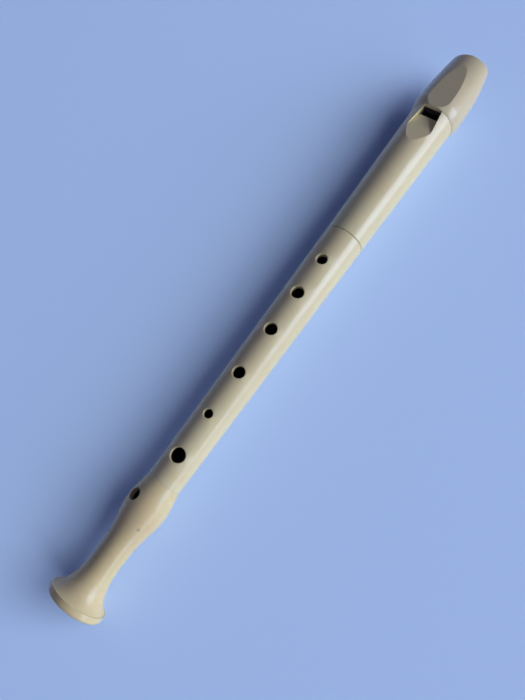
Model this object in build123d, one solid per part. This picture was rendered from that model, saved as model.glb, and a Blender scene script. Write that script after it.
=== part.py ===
from build123d import *
import os
from math import hypot

# Soprano recorder in three push-fit joints, German fingering, moulded in ABS.
# While it is drawn, X runs along the bore from the bell end (X = 0) to the beak tip,
# +Z points out through the finger holes and the window, and +Y is the player's right.
# All sizes are in millimetres.

# --- lengths along the bore, measured from the bell end ---
LENGTH = 328.4
FOOT_TOP = 63.3
HEAD_SEAM = 208.0
RAMP_START = 266.4
RAMP_WIDEST = 276.8
LABIUM_EDGE = 284.8
CAP_FRONT = 288.5
SPIGOT_END = 303.0

# --- outside of the bell and foot ---
RIM_RADIUS = 13.7
RIM_WIDTH = 3.8
RIM_ROUND = 1.6
FLARE_RADIUS = 13.0
FOOT_CURVE = [(5.6, 11.3), (8.5, 9.4), (15.0, 7.4), (24.5, 6.9), (36.0, 7.65), (51.0, 10.05), (58.0, 9.25)]
FOOT_TOP_RADIUS = 8.4

# --- outside of the middle and head ---
MIDDLE_LOW_RADIUS = 8.3
MIDDLE_HIGH_RADIUS = 10.3
TUBE_HIGH_RADIUS = 11.8
SEAM_CHAMFER = 0.4
FOOT_CHAMFER = 0.15

# --- bore, tenons and sockets ---
HEAD_BORE_RADIUS = 7.2
MIDDLE_BORE_HIGH = 6.9
MIDDLE_BORE_LOW = 5.25
FOOT_BORE_RADIUS = 5.2
FOOT_STRAIGHT_START = 16.0
FOOT_STRAIGHT_END = 36.0
FOOT_BORE_TOP = 5.35
FOOT_BORE_MOUTH = 5.6
FOOT_DISH_RADIUS = 11.2
FOOT_DISH_DEPTH = 6.0
FOOT_DISH_ROUND = 9.6
UPPER_TENON_RADIUS = 8.45
UPPER_TENON_LENGTH = 18.0
LOWER_TENON_RADIUS = 6.95
LOWER_TENON_LENGTH = 6.6
TENON_CLEARANCE = 0.05
TENON_CHAMFER = 0.5
SOCKET_END_GAP = 0.2

# --- finger holes: station along the bore and diameter ---
FRONT_HOLES = [(189.7, 5.3), (169.6, 6.1), (148.0, 6.1), (123.0, 5.9), (99.8, 4.3), (77.3, 7.0)]
THUMB_HOLE = (197.0, 5.5)
FOOT_HOLE = (52.9, 5.9)
FOOT_HOLE_TURN = -35.0
HOLE_ROUND = 0.35

# --- window and ramp, cut into the top of the head tube ---
RAMP_HEIGHT = 11.4
LABIUM_HEIGHT = 7.4
RAMP_HALF_WIDTH = 6.5
WINDOW_HALF_WIDTH = 4.9
UNDERCUT_START = 272.0
UNDERCUT_DROP = 1.2
LABIUM_THICKNESS = 0.35

# --- windway, between the block's floor and the roof above it ---
FLOOR_EXIT = 7.0
FLOOR_ENTRY = 5.3
ROOF_EXIT = 8.1
ROOF_ENTRY = 6.9
EXIT_CHAMFER = 0.35

# --- beak cap ---
SPIGOT_RADIUS = 10.1
BLOCK_TAIL_RADIUS = 6.8
GLUE_GAP = 0.03
CAP_STEP = 0.2
CAP_RAMP_LENGTH = 7.0
# Station, half width and height above the bore line of each section.
BEAK_SECTIONS = [
    (CAP_FRONT, 13.25, 13.2),
    (299.0, 13.15, 12.75),
    (309.0, 12.7, 11.65),
    (319.0, 11.75, 10.15),
    (330.0, 10.5, 8.2),
]
FACET_START = (294.8, 11.6)
FACET_END = (320.8, 10.12)
TIP_CORNER = (327.4, 10.5)
TIP_CORNER_ROUND = 4.0
TIP_SIDE = (306.0, 16.0)
LIP_ROUND = 1.0
SCOOP_RADIUS = 34.0
SCOOP_CENTRE = (330.4, -31.8)

# Further than the instrument reaches, for the shapes that cut right through it.
FAR = 40.0
# Stations and lengths closer together than this are the same.
TOLERANCE = 0.01


def turned(*edges):
    """A solid of revolution about the bore line, from an outline that starts and ends on it."""
    closing = Line(edges[-1] @ 1, edges[0] @ 0)
    return revolve(make_face([*edges, closing]), Axis.X)


def turned_points(*points):
    """A solid of revolution from straight runs between (station, radius) points."""
    return revolve(make_face(Polyline(*points, close=True)), Axis.X)


def side_prism(half_width, *points):
    """A prism across the instrument, from an outline of (station, height) points."""
    outline = make_face(Plane.XZ * Polyline(*points, close=True))
    return extrude(outline, half_width, both=True)


def radial_drill(station, diameter, turn):
    """A drill from the bore line outwards, turned about it from straight up."""
    drill = Cylinder(diameter / 2, FAR, align=(Align.CENTER, Align.CENTER, Align.MIN))
    return Rot(turn, 0, 0) * Pos(station, 0, 0) * drill


def hole_mouth(body, station, diameter):
    """The outer edge of a radial hole: of the edges that span the hole, the one furthest out."""
    rims = body.edges().filter_by(
        lambda edge: abs(edge.bounding_box().center().X - station) < TOLERANCE
        and abs(edge.bounding_box().size.X - diameter) < TOLERANCE
    )
    return rims.sort_by(lambda edge: hypot((edge @ 0).Y, (edge @ 0).Z))[-1]


def drilled(body, station, diameter, turn):
    """Drills one radial hole and rounds its outer edge."""
    body -= radial_drill(station, diameter, turn)
    return fillet(hole_mouth(body, station, diameter), HOLE_ROUND)


def foot_joint():
    """The bell end with its bore, the socket for the middle joint and the little finger's hole."""
    outside = turned(
        Line((0, 0), (0, RIM_RADIUS - RIM_ROUND)),
        RadiusArc((0, RIM_RADIUS - RIM_ROUND), (RIM_ROUND, RIM_RADIUS), RIM_ROUND),
        Line((RIM_ROUND, RIM_RADIUS), (RIM_WIDTH, RIM_RADIUS)),
        Line((RIM_WIDTH, RIM_RADIUS), (RIM_WIDTH, FLARE_RADIUS)),
        Spline((RIM_WIDTH, FLARE_RADIUS), *FOOT_CURVE, (FOOT_TOP, FOOT_TOP_RADIUS)),
        Line((FOOT_TOP, FOOT_TOP_RADIUS), (FOOT_TOP, 0)),
    )
    socket_radius = LOWER_TENON_RADIUS + TENON_CLEARANCE
    socket_start = FOOT_TOP - LOWER_TENON_LENGTH - SOCKET_END_GAP
    dish = turned(
        Line((0, 0), (0, FOOT_DISH_RADIUS)),
        RadiusArc((0, FOOT_DISH_RADIUS), (FOOT_DISH_DEPTH, FOOT_BORE_MOUTH), -FOOT_DISH_ROUND),
        Line((FOOT_DISH_DEPTH, FOOT_BORE_MOUTH), (FOOT_DISH_DEPTH, 0)),
    )
    bore = turned_points(
        (0, 0),
        (0, FOOT_BORE_MOUTH),
        (FOOT_DISH_DEPTH, FOOT_BORE_MOUTH),
        (FOOT_STRAIGHT_START, FOOT_BORE_RADIUS),
        (FOOT_STRAIGHT_END, FOOT_BORE_RADIUS),
        (socket_start, FOOT_BORE_TOP),
        (socket_start, socket_radius),
        (FOOT_TOP - FOOT_CHAMFER, socket_radius),
        (FOOT_TOP, socket_radius + FOOT_CHAMFER),
        (FOOT_TOP, 0),
    )
    body = outside - bore - dish
    top_edge = body.edges().sort_by_distance((FOOT_TOP, FOOT_TOP_RADIUS, 0))[0]
    body = chamfer(top_edge, FOOT_CHAMFER)
    return drilled(body, *FOOT_HOLE, FOOT_HOLE_TURN)


def middle_joint():
    """The tapered tube with a tenon at each end, the finger holes and the thumb hole."""
    low_end = FOOT_TOP - LOWER_TENON_LENGTH
    high_end = HEAD_SEAM + UPPER_TENON_LENGTH
    outside = turned_points(
        (low_end, 0),
        (low_end, LOWER_TENON_RADIUS - TENON_CHAMFER),
        (low_end + TENON_CHAMFER, LOWER_TENON_RADIUS),
        (FOOT_TOP, LOWER_TENON_RADIUS),
        (FOOT_TOP, MIDDLE_LOW_RADIUS),
        (HEAD_SEAM - SEAM_CHAMFER, MIDDLE_HIGH_RADIUS),
        (HEAD_SEAM, MIDDLE_HIGH_RADIUS - SEAM_CHAMFER),
        (HEAD_SEAM, UPPER_TENON_RADIUS),
        (high_end - TENON_CHAMFER, UPPER_TENON_RADIUS),
        (high_end, UPPER_TENON_RADIUS - TENON_CHAMFER),
        (high_end, 0),
    )
    bore = turned_points(
        (low_end, 0),
        (low_end, MIDDLE_BORE_LOW),
        (high_end, MIDDLE_BORE_HIGH),
        (high_end, 0),
    )
    body = outside - bore
    for station, diameter in FRONT_HOLES:
        body = drilled(body, station, diameter, 0)
    return drilled(body, *THUMB_HOLE, 180)


def windway_height(station, at_exit, at_entry):
    """Height of the windway's floor or roof, which slope evenly from exit to entry."""
    run = (station - CAP_FRONT) / (LENGTH - CAP_FRONT)
    return at_exit + run * (at_entry - at_exit)


def below_line(start, end, at_exit, at_entry, half_width):
    """The space under the windway's floor or roof, down to the bore line."""
    return side_prism(
        half_width,
        (start, 0),
        (start, windway_height(start, at_exit, at_entry)),
        (end, windway_height(end, at_exit, at_entry)),
        (end, 0),
    )


def window_cut():
    """The sloping ramp down to the labium's edge, and the window beyond it."""
    slope = (RAMP_HEIGHT - LABIUM_HEIGHT) / (LABIUM_EDGE - RAMP_START)
    start = RAMP_START - FAR
    above_ramp = side_prism(
        FAR,
        (start, LABIUM_HEIGHT + slope * (LABIUM_EDGE - start)),
        (LABIUM_EDGE, LABIUM_HEIGHT),
        (LABIUM_EDGE, 0),
        (CAP_FRONT, 0),
        (CAP_FRONT, FAR),
        (start, FAR),
    )
    walls = Polyline(
        (start, -RAMP_HALF_WIDTH),
        (RAMP_WIDEST, -RAMP_HALF_WIDTH),
        (CAP_FRONT, -WINDOW_HALF_WIDTH),
        (CAP_FRONT, WINDOW_HALF_WIDTH),
        (RAMP_WIDEST, RAMP_HALF_WIDTH),
        (start, RAMP_HALF_WIDTH),
        close=True,
    )
    return above_ramp & extrude(make_face(walls), FAR)


def labium_undercut():
    """The flat underside that thins the labium to its edge."""
    edge_height = LABIUM_HEIGHT - LABIUM_THICKNESS
    return side_prism(
        WINDOW_HALF_WIDTH,
        (UNDERCUT_START, 0),
        (UNDERCUT_START, edge_height - UNDERCUT_DROP),
        (LABIUM_EDGE, edge_height),
        (LABIUM_EDGE, 0),
    )


def head_tube():
    """The head's tube, with the socket, the window and the spigot that carries the beak cap."""
    socket_radius = UPPER_TENON_RADIUS + TENON_CLEARANCE
    socket_end = HEAD_SEAM + UPPER_TENON_LENGTH + SOCKET_END_GAP
    outside = turned_points(
        (HEAD_SEAM, 0),
        (HEAD_SEAM, MIDDLE_HIGH_RADIUS - SEAM_CHAMFER),
        (HEAD_SEAM + SEAM_CHAMFER, MIDDLE_HIGH_RADIUS),
        (CAP_FRONT, TUBE_HIGH_RADIUS),
        (CAP_FRONT, SPIGOT_RADIUS),
        (SPIGOT_END, SPIGOT_RADIUS),
        (SPIGOT_END, 0),
    )
    bore = turned_points(
        (HEAD_SEAM, 0),
        (HEAD_SEAM, socket_radius + SEAM_CHAMFER),
        (HEAD_SEAM + SEAM_CHAMFER, socket_radius),
        (socket_end, socket_radius),
        (socket_end, HEAD_BORE_RADIUS),
        (SPIGOT_END, HEAD_BORE_RADIUS),
        (SPIGOT_END, 0),
    )
    windway = below_line(CAP_FRONT, SPIGOT_END, ROOF_EXIT, ROOF_ENTRY, WINDOW_HALF_WIDTH)
    edge_end = CAP_FRONT + EXIT_CHAMFER
    roof = windway_height(edge_end, ROOF_EXIT, ROOF_ENTRY)
    exit_edge = side_prism(
        WINDOW_HALF_WIDTH,
        (CAP_FRONT, roof),
        (CAP_FRONT, ROOF_EXIT + EXIT_CHAMFER),
        (edge_end, roof),
    )
    return outside - bore - window_cut() - labium_undercut() - windway - exit_edge


def scoop():
    """The hollow under the beak, where the lower lip sits."""
    station, height = SCOOP_CENTRE
    return Pos(station, 0, height) * Rot(90, 0, 0) * Cylinder(SCOOP_RADIUS, 2 * FAR)


def tip_outline():
    """The beak seen from above: gently rounded across the tip, with round corners."""
    corner_x, corner_y = TIP_CORNER
    side_x, side_y = TIP_SIDE
    corners = [(corner_x, corner_y), (side_x, side_y), (CAP_FRONT, side_y)]
    mirrored = [(x, -y) for x, y in reversed(corners)]
    outline = make_face(
        [
            Polyline(*corners, *mirrored),
            ThreePointArc(mirrored[-1], (LENGTH, 0), corners[0]),
        ]
    )
    tips = outline.vertices().sort_by(Axis.X)[-2:]
    return fillet(tips, TIP_CORNER_ROUND)


def shoulder_envelope():
    """The room for the cap's rounded front shoulder, which rises from the tube to full radius."""
    full_radius = BEAK_SECTIONS[0][1]
    front_radius = TUBE_HIGH_RADIUS + CAP_STEP
    rise = full_radius - front_radius
    ramp_radius = (CAP_RAMP_LENGTH**2 + rise**2) / (2 * rise)
    ramp_end = (CAP_FRONT + CAP_RAMP_LENGTH, full_radius)
    return turned(
        Line((CAP_FRONT, 0), (CAP_FRONT, front_radius)),
        RadiusArc((CAP_FRONT, front_radius), ramp_end, ramp_radius),
        Line(ramp_end, (ramp_end[0], FAR)),
        Line((ramp_end[0], FAR), (LENGTH + FAR, FAR)),
        Line((LENGTH + FAR, FAR), (LENGTH + FAR, 0)),
    )


def beak_shell():
    """The outer shape that the cap and the block share: shoulder, beak, scoop and round lip."""
    sections = [
        Plane(origin=(station, 0, 0), x_dir=(0, 0, -1), z_dir=(1, 0, 0)) * Ellipse(high, wide)
        for station, wide, high in BEAK_SECTIONS
    ]
    tip_room = Pos(0, 0, -FAR) * extrude(tip_outline(), 2 * FAR)
    body = (loft(sections) & tip_room & shoulder_envelope()) - scoop()
    lip_start = BEAK_SECTIONS[-2][0]
    lip_edges = body.edges().filter_by(
        lambda edge: edge.bounding_box().max.X > lip_start
        and edge.bounding_box().size.Y > TOLERANCE
    )
    return fillet(lip_edges, LIP_ROUND)


def facet_height(station):
    """Height of the flat facet's plane, which runs down towards the tip."""
    start_x, start_z = FACET_START
    end_x, end_z = FACET_END
    return start_z + (end_z - start_z) * (station - start_x) / (end_x - start_x)


def beak_cap():
    """The cap glued over the head tube: shoulder, flat facet, beak and hollow for the block."""
    body = beak_shell()
    above_facet = side_prism(
        FAR,
        (CAP_FRONT, facet_height(CAP_FRONT)),
        (LENGTH, facet_height(LENGTH)),
        (LENGTH, FAR),
        (CAP_FRONT, FAR),
    )
    body -= above_facet
    sleeve = turned_points(
        (CAP_FRONT, 0),
        (CAP_FRONT, SPIGOT_RADIUS + GLUE_GAP),
        (SPIGOT_END, SPIGOT_RADIUS + GLUE_GAP),
        (SPIGOT_END, BLOCK_TAIL_RADIUS),
        (LENGTH, BLOCK_TAIL_RADIUS),
        (LENGTH, 0),
    )
    windway = below_line(SPIGOT_END, LENGTH, ROOF_EXIT, ROOF_ENTRY, WINDOW_HALF_WIDTH)
    return body - sleeve - windway


def windway_block():
    """The plug under the windway: a stepped round shank with a flat-topped key, cut with the beak."""
    step = SPIGOT_END - GLUE_GAP
    shank = turned_points(
        (CAP_FRONT, 0),
        (CAP_FRONT, HEAD_BORE_RADIUS - GLUE_GAP),
        (step, HEAD_BORE_RADIUS - GLUE_GAP),
        (step, BLOCK_TAIL_RADIUS - GLUE_GAP),
        (LENGTH, BLOCK_TAIL_RADIUS - GLUE_GAP),
        (LENGTH, 0),
    )
    key = below_line(CAP_FRONT, LENGTH, ROOF_EXIT, ROOF_ENTRY, WINDOW_HALF_WIDTH)
    below_floor = side_prism(
        FAR,
        (CAP_FRONT, -FAR),
        (CAP_FRONT, FLOOR_EXIT - EXIT_CHAMFER),
        (CAP_FRONT + EXIT_CHAMFER, FLOOR_EXIT),
        (LENGTH, FLOOR_ENTRY),
        (LENGTH, -FAR),
    )
    return (shank + key) & below_floor & beak_shell()


NODES = {
    "foot_joint": foot_joint,
    "middle_joint": middle_joint,
    "head_tube": head_tube,
    "windway_block": windway_block,
    "beak_cap": beak_cap,
}

# The finished instrument lies along X on the plane Z = 0, with its middle over the origin.
os.makedirs("parts", exist_ok=True)
for name, make in NODES.items():
    placed = Pos(-LENGTH / 2, 0, RIM_RADIUS) * make()
    export_step(placed, f"parts/{name}.step")
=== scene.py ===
from math import cos, pi, radians, sin

import bpy
from mathutils import Matrix, Vector


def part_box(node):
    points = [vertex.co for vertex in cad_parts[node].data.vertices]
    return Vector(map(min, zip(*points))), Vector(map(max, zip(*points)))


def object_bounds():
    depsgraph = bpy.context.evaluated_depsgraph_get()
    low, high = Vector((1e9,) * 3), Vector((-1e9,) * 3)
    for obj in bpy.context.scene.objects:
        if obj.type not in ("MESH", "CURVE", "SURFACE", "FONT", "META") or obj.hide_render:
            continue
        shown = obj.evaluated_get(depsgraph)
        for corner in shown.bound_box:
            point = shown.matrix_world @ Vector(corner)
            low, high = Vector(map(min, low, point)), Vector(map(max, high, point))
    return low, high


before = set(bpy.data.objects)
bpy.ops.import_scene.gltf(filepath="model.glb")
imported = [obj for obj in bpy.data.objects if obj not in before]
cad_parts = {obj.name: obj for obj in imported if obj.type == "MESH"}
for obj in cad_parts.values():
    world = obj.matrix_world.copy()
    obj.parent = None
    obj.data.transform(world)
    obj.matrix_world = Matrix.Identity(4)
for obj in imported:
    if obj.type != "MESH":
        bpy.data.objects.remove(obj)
cad_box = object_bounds()

# --- places taken from the frame, in metres ---
low, high = cad_box
BELL_X = low[0]
TIP_X = high[0]
FLOOR_Z = low[2]
foot_low, foot_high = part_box("foot_joint")
BORE_Z = (foot_low.z + foot_high.z) / 2
FOOT_SEAM_X = foot_high.x
HEAD_SEAM_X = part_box("head_tube")[0].x
CAP_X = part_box("beak_cap")[0].x

# --- holes: station from the bell end, diameter, and turn about the bore from straight up ---
MIDDLE_HOLES = [
    (0.1897, 0.0053, 0),
    (0.1696, 0.0061, 0),
    (0.1480, 0.0061, 0),
    (0.1230, 0.0059, 0),
    (0.0998, 0.0043, 0),
    (0.0773, 0.0070, 0),
    (0.1970, 0.0055, 180),
]
FOOT_HOLES = [(0.0529, 0.0059, -35)]

# --- spots and stretches that have their own look, in metres ---
FOOT_ENDS = (BELL_X, BELL_X + 0.0038)
FOOT_BORE_X = BELL_X + 0.004
FOOT_SOCKET_X = BELL_X + 0.040
WINDWAY_LOW_Z = BORE_Z + 0.0088
WINDWAY_HIGH_Z = BORE_Z + 0.0100
GATE_POINT = (BELL_X + 0.0422, -0.0056, BORE_Z + 0.0068)
FACET_POINT = (BELL_X + 0.2948, 0, BORE_Z + 0.0116)
FACET_NORMAL = Vector((0.00148, 0, 0.026)).normalized()

# --- radii that take in each bore's wall but not the outside, for the painted shade, in metres ---
FOOT_BORE_RADIUS = 0.0062
FOOT_SOCKET_RADIUS = 0.0078
MIDDLE_BORE_RADIUS = 0.0071
HEAD_BORE_RADIUS = 0.0073
SPIGOT_RADIUS = 0.0106
RADIUS_SOFTNESS = 0.0001

# --- camera: held close over the middle joint, rolled towards the player's left ---
CAMERA_REACH = 0.262
CAMERA_STATION = 0.0939
CAMERA_ROLL = radians(18.5)
CAMERA_TILT = radians(9.8)
CAMERA_SPIN = radians(53.5)
LENS = 28.8

# --- soft boxes on the player's left: azimuth, width, bottom and top elevation in degrees, radiance ---
LIGHT_DISTANCE = 9
KEY_LIGHT = (-64, 31, 1, 34, 6.1)
FILL_LIGHT = (-103, 48, 4, 22, 3.15)
FLOOR_LIGHT = (-70, 60, 20, 56, 5.5)
LIGHT_COLOUR = (0.90, 0.985, 1.20)
FLOOR_LIGHT_COLOUR = (0.916, 1.0, 0.983)
HORIZON_GLOW = (0.265, 0.305, 0.495)
ROOM_GLOW = (0.058, 0.066, 0.135)
GLOW_TOP = 0.35

# --- colours, linear ---
PALE_CREAM = (0.87, 0.735, 0.415)
DEEP_CREAM = (0.83, 0.675, 0.37)
YELLOW_CREAM = (0.88, 0.705, 0.365)
DEEP_YELLOW = (0.83, 0.635, 0.32)
# the beak cap's creams, a little darker than the tubes'
CAP_CREAM = (0.79, 0.67, 0.40)
DEEP_CAP_CREAM = (0.75, 0.61, 0.36)
# dark brown for dirt with painted shade at the holes and seams, also used for the gate mark
DIRT_AND_SHADE_BROWN = (0.20, 0.14, 0.08)
# near-black painted shade for the bores, the windway's exit and the block's front, and laid thinly on the
# cap's facet
PAINTED_SHADE_BLACK = (0.05, 0.035, 0.025)
FLOOR_BLUE = (0.39, 0.50, 0.77)

FLOOR_SIZE = 6
FLOOR_ROUGHNESS = 0.8
FLOOR_SHEEN = 0.1

# --- the plastic: how far marks and painted shade reach, and how deep the surface is textured, in metres ---
RUB_REACH = 0.004
WEAR_REACH = 0.006
DIRT_AND_SHADE_REACH = 0.0006
EXIT_REACH = 0.003
# the painted shade in a bore fades in over this length
SHADE_FADE = 0.012
GATE_REACH = (0.0004, 0.0011)
FACET_REACH = (0.00003, 0.00012)
PEEL_DEPTH = 6e-6
GRAIN_DEPTH = 1.6e-6
SCRATCH_DEPTH = 1.1e-6
GLOW_DEPTH = (0.0042, 0.0020, 0.0010)

# --- the plastic: noise scales, and how noise is drawn out along the bore ---
CLOUD_SCALE = 35
STREAK_SCALE = 160
PATCH_SCALE = 900
SCRATCH_SCALE = 2600
GLOSS_SCALE = 120
PEEL_SCALE = 700
GRAIN_SCALE = 5200
STREAK_STRETCH = (0.12, 1, 1)
SCRATCH_STRETCH = (0.02, 1, 1)

# --- the plastic: strengths ---
CLOUD_SHARE = 0.6
STREAK_SHARE = 0.4
DIRT_AND_SHADE_STRENGTH = 0.35
GATE_STRENGTH = 0.4
# how much painted shade darkens the cap's flat facet
FACET_SHADE = 0.16
TRANSLUCENCY = 0.25
PLASTIC_IOR = 1.49
GLOSS_TINT = (0.76, 0.88, 1.0)

# --- the plastic: roughness of each piece, and what changes it ---
FOOT_ROUGHNESS = 0.27
TUBE_ROUGHNESS = 0.24
CAP_ROUGHNESS = 0.19
BLOCK_ROUGHNESS = 0.45
GLOSS_SPREAD = 0.16
RUBBED_GLOSS = 0.06
SCRATCH_DULLNESS = 0.06


class Graph:
    """A material's nodes, added and joined in one call each."""

    def __init__(self, name):
        self.material = bpy.data.materials.new(name)
        self.material.use_nodes = True
        self.tree = self.material.node_tree
        self.shader = self.tree.nodes["Principled BSDF"]
        self.place = self.add("ShaderNodeTexCoord").outputs["Object"]

    def add(self, kind, sockets=(), **settings):
        node = self.tree.nodes.new(kind)
        for name, value in settings.items():
            setattr(node, name, value)
        for name, value in dict(sockets).items():
            self.put(node.inputs[name], value)
        return node

    def put(self, socket, value):
        if isinstance(value, bpy.types.NodeSocket):
            self.tree.links.new(value, socket)
        else:
            socket.default_value = value

    def math(self, operation, first, second=0.0):
        return self.add("ShaderNodeMath", {0: first, 1: second}, operation=operation).outputs[0]

    def vector(self, operation, first, second=(0, 0, 0)):
        node = self.add("ShaderNodeVectorMath", {0: first, 1: second}, operation=operation)
        return node.outputs["Value" if operation in ("LENGTH", "DOT_PRODUCT") else "Vector"]

    def ramp(self, value, start, end, low_value=0.0, high_value=1.0):
        sockets = {"Value": value, 1: start, 2: end, 3: low_value, 4: high_value}
        return self.add("ShaderNodeMapRange", sockets, interpolation_type="SMOOTHSTEP").outputs[0]

    def noise(self, scale, detail=2.0, stretch=(1, 1, 1)):
        place = self.vector("MULTIPLY", self.place, stretch)
        sockets = {"Vector": place, "Scale": scale, "Detail": detail}
        return self.add("ShaderNodeTexNoise", sockets).outputs["Fac"]

    def blend(self, amount, first, second):
        node = self.add("ShaderNodeMix", data_type="RGBA")
        sockets = (node.inputs[0], node.inputs[6], node.inputs[7])
        for socket, value in zip(sockets, (amount, first, second)):
            self.put(socket, (*value, 1) if isinstance(value, tuple) else value)
        return node.outputs[2]


def near_holes(graph, holes, reach):
    """1 at a hole's mouth, falling to 0 at the given distance outside it."""
    mask = 0.0
    for station, diameter, turn in holes:
        way = (0, -sin(radians(turn)), cos(radians(turn)))
        away = graph.vector("SUBTRACT", graph.place, (BELL_X + station, 0, BORE_Z))
        gap = graph.vector("LENGTH", graph.vector("CROSS_PRODUCT", away, way))
        ring = graph.ramp(gap, diameter / 2, diameter / 2 + reach, 1.0, 0.0)
        side = graph.math("GREATER_THAN", graph.vector("DOT_PRODUCT", away, way), 0.0)
        mask = graph.math("MAXIMUM", mask, graph.math("MULTIPLY", ring, side))
    return mask


def near_stations(graph, stations, reach):
    """1 at each station along the bore, falling to 0 at the given distance."""
    along = graph.add("ShaderNodeSeparateXYZ", {0: graph.place}).outputs["X"]
    mask = 0.0
    for station in stations:
        gap = graph.math("ABSOLUTE", graph.math("SUBTRACT", along, station))
        mask = graph.math("MAXIMUM", mask, graph.ramp(gap, 0.0, reach, 1.0, 0.0))
    return mask


def inside_bore(graph, radius, start):
    """1 on surfaces nearer to the bore line than the given radius, from a station on."""
    away = graph.vector("SUBTRACT", graph.place, (0, 0, BORE_Z))
    gap = graph.vector("LENGTH", graph.vector("MULTIPLY", away, (0, 1, 1)))
    along = graph.add("ShaderNodeSeparateXYZ", {0: graph.place}).outputs["X"]
    narrow = graph.ramp(gap, radius - RADIUS_SOFTNESS, radius + RADIUS_SOFTNESS, 1.0, 0.0)
    return graph.math("MULTIPLY", narrow, graph.ramp(along, start, start + SHADE_FADE))


def windway_exit_shade(graph):
    """Painted shade: 1 on the low part of the wall around the windway's exit, at the end of the window.
    """
    height = graph.add("ShaderNodeSeparateXYZ", {0: graph.place}).outputs["Z"]
    low_part = graph.ramp(height, WINDWAY_LOW_Z, WINDWAY_HIGH_Z, 1.0, 0.0)
    wall = graph.math("MULTIPLY", low_part, inside_bore(graph, SPIGOT_RADIUS, HEAD_SEAM_X))
    return graph.math("MULTIPLY", near_stations(graph, (CAP_X,), DIRT_AND_SHADE_REACH), wall)


# painted shade: the beak's flat facet is made darker, as if it caught less light
def facet_painted_shade(graph):
    """How much darker the beak's flat facet is, set to match the photo."""
    away = graph.vector("SUBTRACT", graph.place, FACET_POINT)
    gap = graph.math("ABSOLUTE", graph.vector("DOT_PRODUCT", away, FACET_NORMAL))
    return graph.ramp(gap, *FACET_REACH, FACET_SHADE, 0.0)


def gate_mark(graph, place):
    """1 on the foot's small dark mark, taken for the scar of the mould's gate."""
    gap = graph.vector("LENGTH", graph.vector("SUBTRACT", graph.place, place))
    return graph.ramp(gap, *GATE_REACH, 1.0, 0.0)


def cloudy_tone(graph, pale, deep):
    """Two creams mixed by soft clouds and by streaks that run along the bore."""
    clouds = graph.ramp(graph.noise(CLOUD_SCALE, 3), 0.35, 0.65)
    streaks = graph.noise(STREAK_SCALE, 4, STREAK_STRETCH)
    cloud_part = graph.math("MULTIPLY", clouds, CLOUD_SHARE)
    tone = graph.math("ADD", cloud_part, graph.math("MULTIPLY", streaks, STREAK_SHARE))
    return graph.blend(tone, deep, pale)


def dirt_and_shade_mask(graph, holes, dirt_and_shade_stations):
    """Patchy dirt with painted shade in and around the holes and at the given stations."""
    patchy = graph.ramp(graph.noise(PATCH_SCALE, 3), 0.3, 0.7)
    dirt_and_shade = near_holes(graph, holes, DIRT_AND_SHADE_REACH)
    if dirt_and_shade_stations:
        dirt_and_shade = graph.math("MAXIMUM", dirt_and_shade, near_stations(graph, dirt_and_shade_stations, DIRT_AND_SHADE_REACH))
    uneven = graph.math("MULTIPLY", dirt_and_shade, graph.ramp(patchy, 0, 1, 0.5, 1.0))
    return graph.math("MULTIPLY", uneven, DIRT_AND_SHADE_STRENGTH)


def rubbed_mask(graph, holes, worn):
    """1 where fingers and handling have rubbed the plastic smooth."""
    rubbed = near_holes(graph, holes, RUB_REACH)
    if worn:
        rubbed = graph.math("MAXIMUM", rubbed, near_stations(graph, worn, WEAR_REACH))
    return rubbed


def uneven_roughness(graph, roughness, rubbed, scratches):
    """Roughness that drifts along the piece, lower where rubbed and higher in scratches."""
    drift = graph.math("SUBTRACT", graph.noise(GLOSS_SCALE, 4), 0.5)
    change = graph.math("MULTIPLY", drift, GLOSS_SPREAD)
    change = graph.math("SUBTRACT", change, graph.math("MULTIPLY", rubbed, RUBBED_GLOSS))
    change = graph.math("ADD", change, graph.math("MULTIPLY", scratches, SCRATCH_DULLNESS))
    return graph.math("ADD", change, roughness)


def textured_normal(graph, scratches):
    """Orange peel, fine grain and scratches, one bump over another."""
    peel = graph.add("ShaderNodeBump", {"Height": graph.noise(PEEL_SCALE, 2), "Distance": PEEL_DEPTH})
    grains = {"Height": graph.noise(GRAIN_SCALE, 3), "Distance": GRAIN_DEPTH, "Normal": peel.outputs[0]}
    grain = graph.add("ShaderNodeBump", grains)
    cuts = {"Height": scratches, "Distance": SCRATCH_DEPTH, "Normal": grain.outputs[0]}
    return graph.add("ShaderNodeBump", cuts, invert=True).outputs[0]


def moulded_plastic(name, pale, deep, roughness, holes=(), worn=(), dirt_and_shade_stations=(), painted_shade=None, gate=None):
    """Slightly translucent cream plastic with a moulded surface, the marks of use, and painted shade
    where a mask is given.
    """
    graph = Graph(name)
    colour = cloudy_tone(graph, pale, deep)
    # dirt and painted shade in the holes and at the seams
    colour = graph.blend(dirt_and_shade_mask(graph, holes, dirt_and_shade_stations), colour, DIRT_AND_SHADE_BROWN)
    # painted shade: the colour goes towards near black where the given mask is 1
    if painted_shade:
        colour = graph.blend(painted_shade(graph), colour, PAINTED_SHADE_BLACK)
    if gate:
        colour = graph.blend(graph.math("MULTIPLY", gate_mark(graph, gate), GATE_STRENGTH), colour, DIRT_AND_SHADE_BROWN)

    scratches = graph.ramp(graph.noise(SCRATCH_SCALE, 2, SCRATCH_STRETCH), 0.66, 0.72)
    rubbed = rubbed_mask(graph, holes, worn)
    inputs = graph.shader.inputs
    graph.put(inputs["Base Color"], colour)
    graph.put(inputs["Roughness"], uneven_roughness(graph, roughness, rubbed, scratches))
    graph.put(inputs["Normal"], textured_normal(graph, scratches))
    inputs["IOR"].default_value = PLASTIC_IOR
    inputs["Specular Tint"].default_value = (*GLOSS_TINT, 1)
    inputs["Subsurface Weight"].default_value = TRANSLUCENCY
    inputs["Subsurface Radius"].default_value = GLOW_DEPTH
    inputs["Subsurface Scale"].default_value = 1.0
    return graph.material


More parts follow.
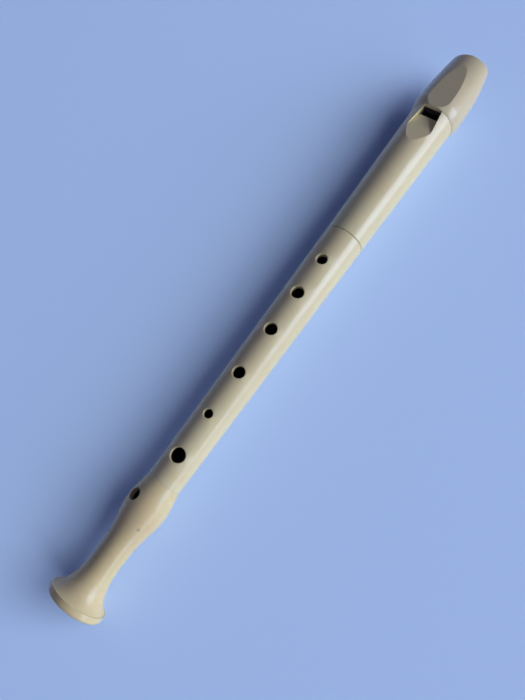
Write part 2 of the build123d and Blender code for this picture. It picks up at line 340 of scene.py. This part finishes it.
def floor_paint():
    graph = Graph("floor_paint")
    graph.shader.inputs["Base Color"].default_value = (*FLOOR_BLUE, 1)
    graph.shader.inputs["Roughness"].default_value = FLOOR_ROUGHNESS
    graph.shader.inputs["Specular IOR Level"].default_value = FLOOR_SHEEN
    return graph.material


def dress(name, material):
    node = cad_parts[name]
    node.data.materials.clear()
    node.data.materials.append(material)


def add_camera():
    towards = Vector((0, -sin(CAMERA_ROLL), cos(CAMERA_ROLL)))
    across = Vector((0, cos(CAMERA_ROLL), sin(CAMERA_ROLL)))
    along = Vector((1, 0, 0))
    head_way = along * cos(CAMERA_TILT) + towards * sin(CAMERA_TILT)
    forward = along * sin(CAMERA_TILT) - towards * cos(CAMERA_TILT)
    right = head_way * cos(CAMERA_SPIN) - across * sin(CAMERA_SPIN)
    up = head_way * sin(CAMERA_SPIN) + across * cos(CAMERA_SPIN)
    camera = bpy.data.objects.new("camera", bpy.data.cameras.new("camera"))
    camera.data.lens = LENS
    camera.data.clip_start = 0.01
    place = Vector((BELL_X + CAMERA_STATION, 0, BORE_Z)) + towards * CAMERA_REACH
    turn = Matrix((right, up, -forward)).transposed().to_4x4()
    camera.matrix_world = Matrix.Translation(place) @ turn
    bpy.context.scene.collection.objects.link(camera)
    bpy.context.scene.camera = camera


def add_soft_box(name, azimuth, spread, bottom, top, radiance):
    """An area light that shines at the instrument; it spans the given angles as seen from there."""
    middle = radians((bottom + top) / 2)
    light = bpy.data.lights.new(name, "AREA")
    light.shape = "RECTANGLE"
    light.size = radians(spread) * LIGHT_DISTANCE
    light.size_y = radians(top - bottom) * LIGHT_DISTANCE
    light.energy = radiance * pi * light.size * light.size_y
    light.color = LIGHT_COLOUR
    lamp = bpy.data.objects.new(name, light)
    turn = radians(azimuth)
    way = Vector((cos(turn) * cos(middle), sin(turn) * cos(middle), sin(middle)))
    facing = way.to_track_quat("Z", "Y").to_matrix().to_4x4()
    lamp.matrix_world = Matrix.Translation(way * LIGHT_DISTANCE) @ facing
    bpy.context.scene.collection.objects.link(lamp)
    return lamp


def add_floor():
    bpy.ops.mesh.primitive_plane_add(size=FLOOR_SIZE, location=(0, 0, FLOOR_Z))
    floor = bpy.context.object
    floor.name = "floor"
    floor.data.materials.append(floor_paint())
    lit = bpy.data.collections.new("lit_by_floor_light")
    lit.objects.link(floor)
    lamp = add_soft_box("floor_light", *FLOOR_LIGHT)
    lamp.data.color = FLOOR_LIGHT_COLOUR
    lamp.light_linking.receiver_collection = lit


def add_room():
    """A dim room, paler towards the horizon, and colours shown without a film look."""
    bpy.context.scene.view_settings.view_transform = "Standard"
    world = bpy.data.worlds.new("room")
    bpy.context.scene.world = world
    world.use_nodes = True
    nodes, links = world.node_tree.nodes, world.node_tree.links
    split = nodes.new("ShaderNodeSeparateXYZ")
    links.new(nodes.new("ShaderNodeTexCoord").outputs["Generated"], split.inputs[0])
    fade = nodes.new("ShaderNodeMapRange")
    fade.interpolation_type = "SMOOTHSTEP"
    fade.inputs["From Max"].default_value = GLOW_TOP
    links.new(split.outputs["Z"], fade.inputs["Value"])
    glow = nodes.new("ShaderNodeMix")
    glow.data_type = "RGBA"
    links.new(fade.outputs["Result"], glow.inputs[0])
    glow.inputs[6].default_value = (*HORIZON_GLOW, 1)
    glow.inputs[7].default_value = (*ROOM_GLOW, 1)
    links.new(glow.outputs[2], nodes["Background"].inputs["Color"])


def foot_painted_shade(graph):
    """Painted shade in the foot's bore, and in its wider socket from the hole up."""
    bore = inside_bore(graph, FOOT_BORE_RADIUS, FOOT_BORE_X)
    return graph.math("MAXIMUM", bore, inside_bore(graph, FOOT_SOCKET_RADIUS, FOOT_SOCKET_X))


# painted shade in the middle joint's bore
def middle_painted_shade(graph):
    return inside_bore(graph, MIDDLE_BORE_RADIUS, FOOT_SEAM_X)


# painted shade in the head's bore and on the wall under the windway's exit
def head_painted_shade(graph):
    bore = inside_bore(graph, HEAD_BORE_RADIUS, HEAD_SEAM_X)
    return graph.math("MAXIMUM", bore, windway_exit_shade(graph))


# painted shade on the windway block's front, near the exit
def block_painted_shade(graph):
    return near_stations(graph, (CAP_X,), EXIT_REACH)


dress("foot_joint", moulded_plastic(
    "foot_plastic", YELLOW_CREAM, DEEP_YELLOW, FOOT_ROUGHNESS, FOOT_HOLES,
    worn=FOOT_ENDS, painted_shade=foot_painted_shade, gate=GATE_POINT))
dress("middle_joint", moulded_plastic(
    "body_plastic", PALE_CREAM, DEEP_CREAM, TUBE_ROUGHNESS, MIDDLE_HOLES,
    dirt_and_shade_stations=(HEAD_SEAM_X,), painted_shade=middle_painted_shade))
dress("head_tube", moulded_plastic(
    "head_plastic", PALE_CREAM, DEEP_CREAM, TUBE_ROUGHNESS,
    dirt_and_shade_stations=(HEAD_SEAM_X,), painted_shade=head_painted_shade))
dress("beak_cap", moulded_plastic(
    "cap_plastic", CAP_CREAM, DEEP_CAP_CREAM, CAP_ROUGHNESS,
    worn=(TIP_X,), painted_shade=facet_painted_shade))
dress("windway_block", moulded_plastic(
    "block_plastic", PALE_CREAM, DEEP_CREAM, BLOCK_ROUGHNESS, painted_shade=block_painted_shade))

add_camera()
add_soft_box("key_light", *KEY_LIGHT)
add_soft_box("fill_light", *FILL_LIGHT)
add_room()
add_floor()
